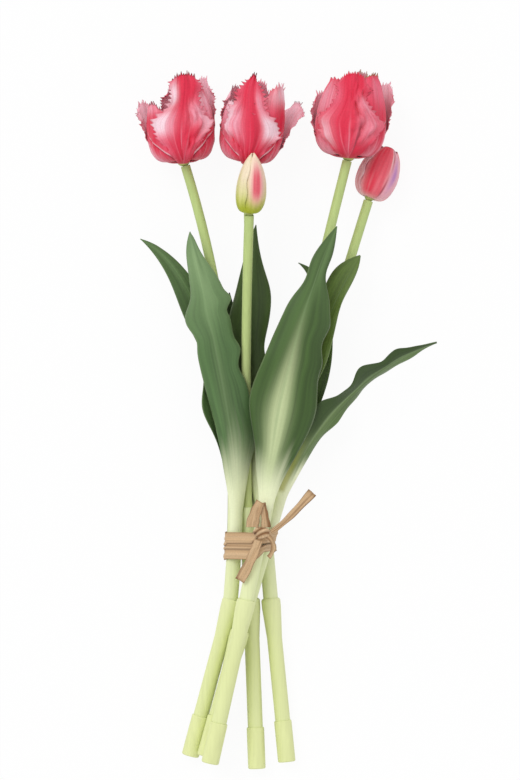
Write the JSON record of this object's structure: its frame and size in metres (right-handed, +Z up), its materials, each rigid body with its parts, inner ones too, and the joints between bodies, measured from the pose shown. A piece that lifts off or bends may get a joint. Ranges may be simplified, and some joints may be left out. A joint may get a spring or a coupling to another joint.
{
  "type": "bunch of artificial tulips",
  "caption": "Tied bunch of artificial parrot tulips: fringed blooms and buds on slim wired stems with wavy leaves and thick pale lower tubes, bound with raffia.",
  "frame": {"origin": "on the table, under the middle of the bunch as it lies", "axes": "+Y from the feet to the flowers, +X to the right and +Z up from the table, towards the viewer"},
  "size_m": [0.1912, 0.4551, 0.0583],
  "materials": {
    "stem_wire": "drawn wire",
    "stem": "soft satin",
    "sheath": "soft satin",
    "lower_tube": "soft satin",
    "foot": "soft satin",
    "leaf": "powdery matt",
    "outer_petals": "powdery matt",
    "inner_petals": "powdery matt",
    "green_bud_petals": "powdery matt",
    "pink_bud_petals": "powdery matt",
    "receptacle": "matt",
    "stamens": "matt",
    "raffia": "dry fibre"
  },
  "bodies": {
    "bunch": {"left_bloom_stem_wire": "stem_wire", "left_bloom_stem": "stem", "left_bloom_sheath": "sheath", "left_bloom_lower_tube": "lower_tube", "left_bloom_foot": "foot", "centre_bloom_stem_wire": "stem_wire", "centre_bloom_stem": "stem", "centre_bloom_sheath": "sheath", "centre_bloom_lower_tube": "lower_tube", "centre_bloom_foot": "foot", "right_bloom_stem_wire": "stem_wire", "right_bloom_stem": "stem", "right_bloom_sheath": "sheath", "right_bloom_lower_tube": "lower_tube", "right_bloom_foot": "foot", "centre_bud_stem_wire": "stem_wire", "centre_bud_stem": "stem", "centre_bud_sheath": "sheath", "centre_bud_lower_tube": "lower_tube", "centre_bud_foot": "foot", "right_bud_stem_wire": "stem_wire", "right_bud_stem": "stem", "right_bud_sheath": "sheath", "right_bud_lower_tube": "lower_tube", "right_bud_foot": "foot", "left_bloom_front_leaf": "leaf", "left_bloom_back_leaf": "leaf", "centre_bloom_front_leaf": "leaf", "right_bloom_front_leaf": "leaf", "right_bloom_side_leaf": "leaf", "centre_bud_leaf": "leaf", "right_bud_spread_leaf": "leaf", "right_bud_back_leaf": "leaf", "tie_upper_wrap": "raffia", "tie_lower_wrap": "raffia", "tie_knot": "raffia", "tie_ear": "raffia", "tie_long_tail": "raffia", "tie_short_tail": "raffia"},
    "left_bloom_head": {"left_bloom_receptacle": "receptacle", "left_bloom_outer_petals": "outer_petals", "left_bloom_inner_petals": "inner_petals", "left_bloom_stamens": "stamens"},
    "centre_bloom_head": {"centre_bloom_receptacle": "receptacle", "centre_bloom_outer_petals": "outer_petals", "centre_bloom_inner_petals": "inner_petals", "centre_bloom_stamens": "stamens"},
    "right_bloom_head": {"right_bloom_receptacle": "receptacle", "right_bloom_outer_petals": "outer_petals", "right_bloom_inner_petals": "inner_petals", "right_bloom_stamens": "stamens"},
    "centre_bud_head": {"centre_bud_receptacle": "receptacle", "centre_bud_outer_petals": "green_bud_petals", "centre_bud_inner_petals": "green_bud_petals"},
    "right_bud_head": {"right_bud_receptacle": "receptacle", "right_bud_outer_petals": "pink_bud_petals", "right_bud_inner_petals": "pink_bud_petals"}
  },
  "joints": [
    {"name": "left_bloom_swivel", "type": "hinge", "parent": "bunch", "child": "left_bloom_head", "pos_m": [-0.067, 0.1645, 0.025], "axis": [-0.2948, 0.9555, 0.0116], "range_deg": [-20, 20]},
    {"name": "centre_bloom_swivel", "type": "hinge", "parent": "bunch", "child": "centre_bloom_head", "pos_m": [-0.0265, 0.1645, 0.025], "axis": [-0.0139, 0.9893, 0.1449], "range_deg": [-20, 20]},
    {"name": "right_bloom_swivel", "type": "hinge", "parent": "bunch", "child": "right_bloom_head", "pos_m": [0.038, 0.1675, 0.033], "axis": [0.2448, 0.9693, -0.0239], "range_deg": [-20, 20]},
    {"name": "centre_bud_swivel", "type": "hinge", "parent": "bunch", "child": "centre_bud_head", "pos_m": [-0.0255, 0.132, 0.042], "axis": [0.0354, 0.9739, 0.2242], "range_deg": [-20, 20]},
    {"name": "right_bud_swivel", "type": "hinge", "parent": "bunch", "child": "right_bud_head", "pos_m": [0.052, 0.142, 0.0148], "axis": [0.2965, 0.9522, -0.0735], "range_deg": [-20, 20]}
  ]
}
